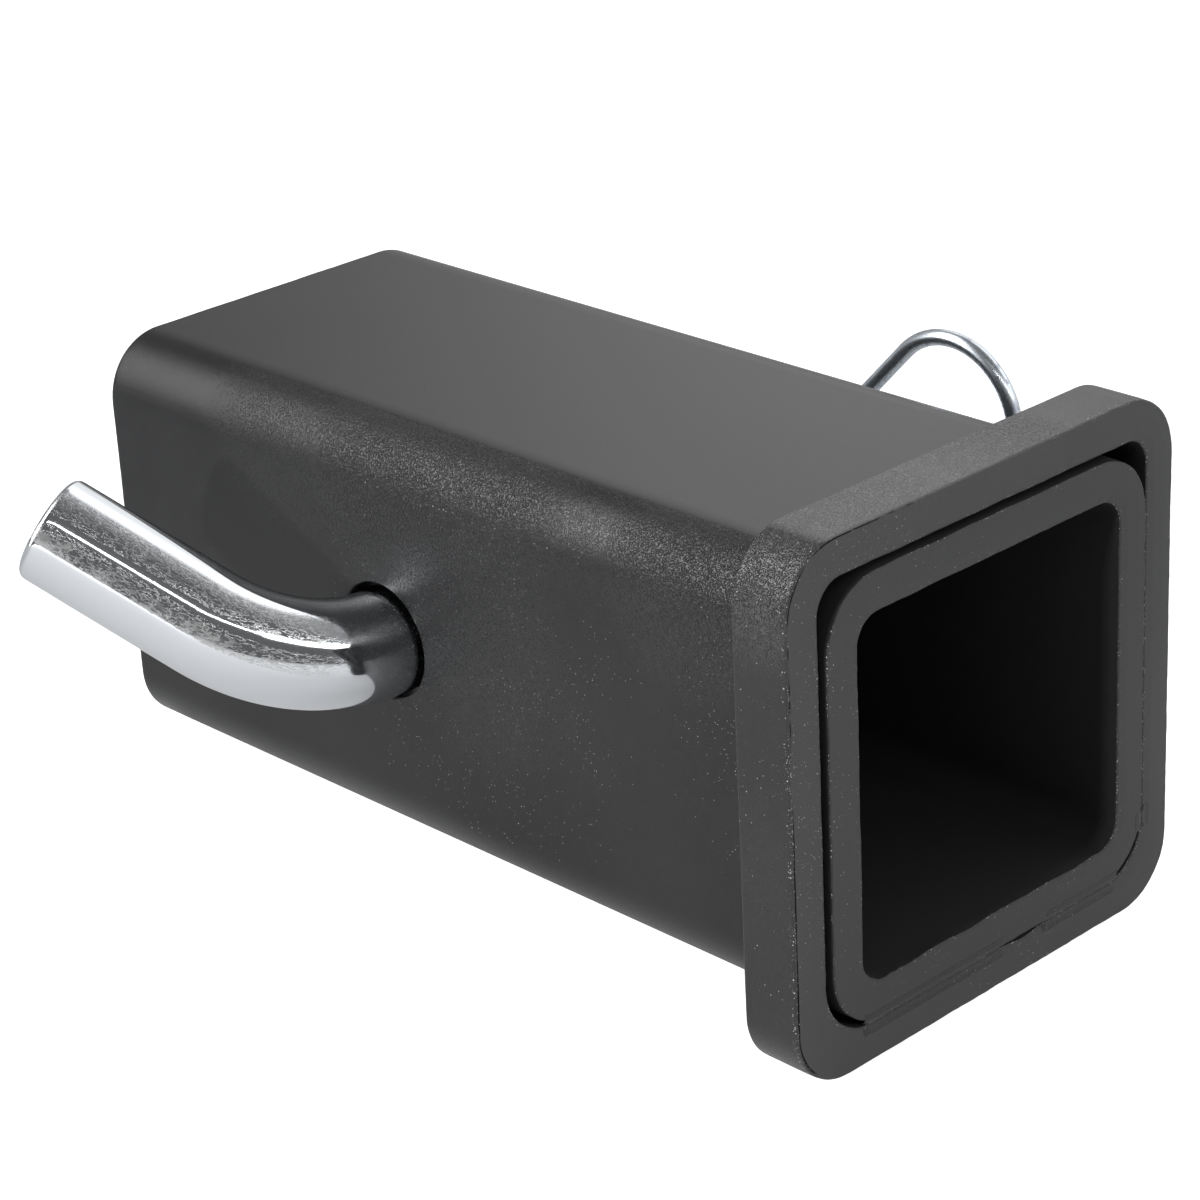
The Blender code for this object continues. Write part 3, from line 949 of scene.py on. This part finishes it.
def wire_route():
    """The wire's centre line in the clip's plane, and its heading at each step."""
    wire = 2 * WIRE_RADIUS
    hug = PIN_RADIUS + WIRE_RADIUS + WIRE_GAP
    neck_drop = CLIP_NECK[0] + wire + CLIP_NECK[1]
    neck_along = sqrt((hug + CLIP_NECK[0]) ** 2 - neck_drop**2)
    tip_drop = CLIP_TIP[0] + wire + CLIP_TIP[1]
    tip_along = sqrt((hug + CLIP_TIP[0]) ** 2 - tip_drop**2)
    pegs = [
        (Vector((CLIP_BOW[0], -CLIP_BOW[1])), -CLIP_BOW[1]),
        (Vector((neck_along, -neck_drop)), CLIP_NECK[0]),
        (Vector((0, 0)), -hug),
        (Vector((-tip_along, -tip_drop)), CLIP_TIP[0]),
    ]
    start = Vector((-CLIP_TAIL, 0))
    stops = [(start, 0.0)] + pegs
    headings = []
    for (here, radius_here), (there, radius_there) in zip(stops, stops[1:]):
        away = there - here
        offset = radius_there - radius_here
        straight = sqrt(max(away.length_squared - offset**2, 0.0))
        headings.append(atan2(away.y, away.x) - atan2(offset, straight))
    headings.append(pi + CLIP_FLARE)

    route = [(start, headings[0])]

    def straight_to(point, heading):
        first = route[-1][0]
        count = ceil((point - first).length / WIRE_STEP)
        for step in range(1, count + 1):
            route.append((first.lerp(point, step / count), heading))

    for (centre, radius), entry, leave in zip(pegs, headings, headings[1:]):
        turn = (leave - entry) % (2 * pi)
        if radius < 0:
            turn -= 2 * pi
        straight_to(centre - Vector((-sin(entry), cos(entry))) * radius, entry)
        count = ceil(abs(turn) * max(abs(radius), 3 * MM) / WIRE_STEP)
        for step in range(1, count + 1):
            heading = entry + turn * step / count
            route.append((centre - Vector((-sin(heading), cos(heading))) * radius, heading))
    heading = headings[-1]
    straight_to(route[-1][0] + Vector((cos(heading), sin(heading))) * CLIP_TIP_LENGTH, heading)
    return route


route = wire_route()
clip_across = Vector((-sin(CLIP_TILT), 0, cos(CLIP_TILT)))
clip_side = clip_along.cross(clip_across)
sections = [(*route[0], back, share) for back, share in WIRE_ENDS]
sections += [(at, heading, 0.0, 1.0) for at, heading in route[1:-1]]
sections += [(*route[-1], -back, share) for back, share in reversed(WIRE_ENDS)]
clip_rows, clip_straight = [], []
gone = 0.0
last = None
for at, heading, back, share in sections:
    at = at + Vector((cos(heading), sin(heading))) * back * MM
    gone += (at - last).length if last else 0.0
    last = at
    centre = clip_centre + clip_along * at.x + clip_across * at.y
    normal = clip_along * -sin(heading) + clip_across * cos(heading)
    row = []
    for i in range(WIRE_SIDES):
        angle = 2 * pi * i / WIRE_SIDES
        straight = Vector((cos(angle) * WIRE_RADIUS, sin(angle) * WIRE_RADIUS, gone))
        dent = WIRE_DENT * (noise.noise(straight / (1.6 * MM)) - 0.7)
        outward = normal * cos(angle) + clip_side * sin(angle)
        row.append(centre + outward * (WIRE_RADIUS * share + dent))
        clip_straight.append(straight / MM)
    clip_rows.append(row)
clip = ring_mesh("hairpin_clip_plated", clip_rows, closed=False)
keep_drawn(clip, clip_straight)
clip.data.set_sharp_from_angle(angle=radians(40))

zinc, tree, shader = new_material("bright_zinc")
place = drawn_place(tree)
lines = stretched(tree, place, (3.0, 3.0, 0.12))
lines = mottling(tree, lines, 1.5, detail=4.0, roughness=0.7)
stains = between(tree, mottling(tree, place, 0.55, detail=4.0, roughness=0.65), 0.50, 0.66)
flecks = between(tree, mottling(tree, place, 2.2, distortion=0.6), 0.60, 0.72)
tone = mixed(tree, stains, ZINC_CLEAN, ZINC_STAIN)
tone = mixed(tree, times(tree, flecks, 0.7), tone, ZINC_FLECK)
tree.links.new(tone, shader.inputs["Base Color"])
gloss = plus(tree, times(tree, lines, 0.14), times(tree, stains, 0.10), 0.21)
tree.links.new(gloss, shader.inputs["Roughness"])
height = plus(tree, times(tree, lines, 0.010), times(tree, flecks, -0.006))
raise_surface(tree, shader, height)
shader.inputs["Metallic"].default_value = 1.0
clip.data.materials.append(zinc)
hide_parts("hairpin_clip")
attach(clip, "clip")


# STUDIO
# Pale paper under the plane that the sleeve rests on, its collar and its back end down.
# The paper is painted darker behind and to the left, as painted shade, so that its reflection in the
# coat is dark there.
# Two lamps light the coat, and two long strips draw the bright lines on the metal.
FLOOR_REACH = 6
FLOOR_DROP = 0.00002
PAPER_PALE = (0.64, 0.64, 0.645, 1.0)
PAPER_PALEST = (0.68, 0.68, 0.685, 1.0)
PAPER_PAINTED_SHADE = (0.36, 0.37, 0.38, 1.0)
SKY_WHITE = (0.985, 0.985, 0.99, 1.0)
AIM = (-0.1, -0.06, 0.05)
STRIP_WAY = (0.73, 0.69, 0)
CAMERA_PLACE = Vector((0.270622, -0.317661, 0.242365))
CAMERA_AIM = Vector((-0.290151, 0.206998, -0.097354))
CAMERA_ROLL = radians(-3.035)
CAMERA_LENS = 105.337

tube_underside = AXIS_HEIGHT - TUBE_WIDTH / 2
lean = atan2(tube_underside, -COLLAR_FRONT - TUBE_BACK)
corners = [(x * FLOOR_REACH, y * FLOOR_REACH, 0) for x, y in ((-1, -1), (1, -1), (1, 1), (-1, 1))]
floor_mesh = bpy.data.meshes.new("pale_floor")
floor_mesh.from_pydata(corners, [], [(0, 1, 2, 3)])
floor = bpy.data.objects.new("pale_floor", floor_mesh)
bpy.context.scene.collection.objects.link(floor)
floor.location = (-COLLAR_FRONT, 0, -FLOOR_DROP)
floor.rotation_euler = (0, lean, 0)
paper, tree, shader = new_material("studio_paper")
place = in_millimetres(tree)
parts = node(tree, "SeparateXYZ", {0: place}).outputs
fibre = mottling(tree, place, 0.02, detail=3.0)
behind = times(tree, between(tree, parts[1], 60, 130), between(tree, parts[1], 230, 170))
ends = between(tree, parts[0], -20, -60)
ends = number(tree, "MAXIMUM", ends, between(tree, parts[0], 40, 70))
left = between(tree, parts[0], -95, -230, 0.0, 0.85)
painted_floor_shade = number(tree, "MAXIMUM", times(tree, behind, ends), left)
pale = mixed(tree, fibre, PAPER_PALE, PAPER_PALEST)
tree.links.new(mixed(tree, painted_floor_shade, pale, PAPER_PAINTED_SHADE), shader.inputs["Base Color"])
shader.inputs["Roughness"].default_value = 0.9
shader.inputs["Specular IOR Level"].default_value = 0.1
shader.inputs["Emission Color"].default_value = (1, 1, 1, 1)
blown = times(tree, node(tree, "LightPath").outputs["Is Camera Ray"], 0.9)
tree.links.new(blown, shader.inputs["Emission Strength"])
floor_mesh.materials.append(paper)

world = bpy.data.worlds.new("studio")
bpy.context.scene.world = world
world.use_nodes = True
tree = world.node_tree
tree.nodes.clear()
look = node(tree, "TexCoord").outputs["Generated"]
way = node(tree, "SeparateXYZ", {0: look}).outputs
turn = number(tree, "ARCTAN2", way[2], times(tree, way[1], -1.0))

# The sky by direction: sheen shows in the tube's round corner, wall in the tops, and
# high fills from the far side. To the camera it is plain white.
sheen = between(tree, turn, radians(98), radians(52))
sheen = times(tree, sheen, between(tree, turn, radians(-2), radians(38), 0.42, 2.8))
sheen = times(tree, sheen, between(tree, way[0], -0.775, -0.675, 0.0, 2.8))
sheen = times(tree, sheen, between(tree, way[0], -0.30, -0.50))
wall = between(tree, turn, radians(121), radians(128))
wall = times(tree, wall, between(tree, way[0], -0.80, -0.62, 0.0, 0.75))
wall = times(tree, wall, between(tree, turn, radians(152), radians(138), 1.0, 1.3))
wall = times(tree, wall, between(tree, turn, radians(176), radians(156), 0.3, 1.10))
high = between(tree, turn, radians(95), radians(130))
high = times(tree, high, between(tree, way[0], -0.45, -0.10, 0.0, 0.35))
seen = plus(tree, sheen, wall, high, between(tree, way[0], -0.50, -0.10, 0.30, 0.15))
seen = number(tree, "MAXIMUM", seen, node(tree, "LightPath").outputs["Is Camera Ray"])
sky = node(tree, "Background", {"Color": SKY_WHITE, "Strength": seen})
node(tree, "OutputWorld", {"Surface": sky.outputs[0]})


def lamp(name, place, aim, size, power, in_gloss, along=(0, 0, 1)):
    """A rectangular lamp aimed at a point, its length along a direction."""
    light = bpy.data.lights.new(name, "AREA")
    light.shape = "RECTANGLE"
    light.size, light.size_y = size
    light.energy = power
    made = bpy.data.objects.new(name, light)
    bpy.context.scene.collection.objects.link(made)
    made.location = place
    back = (Vector(place) - Vector(aim)).normalized()
    length = (Vector(along) - Vector(along).dot(back) * back).normalized()
    made.rotation_euler = Matrix((length, back.cross(length), back)).transposed().to_euler()
    made.visible_glossy = in_gloss
    made.visible_camera = False


lamp("top_lamp", (0.4, -0.1, 0.8), (-0.06, 0, 0.03), (0.6, 0.6), 1.0, False)
lamp("front_lamp", (0.065, -1.5, 0.39), (-0.1, -0.045, 0.05), (0.06, 0.06), 21, False)
lamp("strip_lamp", (0.64, -0.54, 0.89), AIM, (0.85, 0.025), 1.13, True, STRIP_WAY)
lamp("wide_strip_lamp", (1.22, 0.01, 0.89), AIM, (0.8, 0.24), 3.0, True, STRIP_WAY)

ahead = (CAMERA_AIM - CAMERA_PLACE).normalized()
right = ahead.cross(Vector((0, 0, 1))).normalized()
up = right.cross(ahead)
camera_x = cos(CAMERA_ROLL) * right + sin(CAMERA_ROLL) * up
camera_y = -sin(CAMERA_ROLL) * right + cos(CAMERA_ROLL) * up
camera_data = bpy.data.cameras.new("camera")
camera_data.lens = CAMERA_LENS
camera_data.sensor_width = 36
camera = bpy.data.objects.new("camera", camera_data)
bpy.context.scene.collection.objects.link(camera)
turned = Matrix((camera_x, camera_y, -ahead)).transposed()
camera.matrix_world = Matrix.Translation(CAMERA_PLACE) @ turned.to_4x4()
bpy.context.scene.camera = camera
bpy.context.scene.view_settings.view_transform = "Standard"
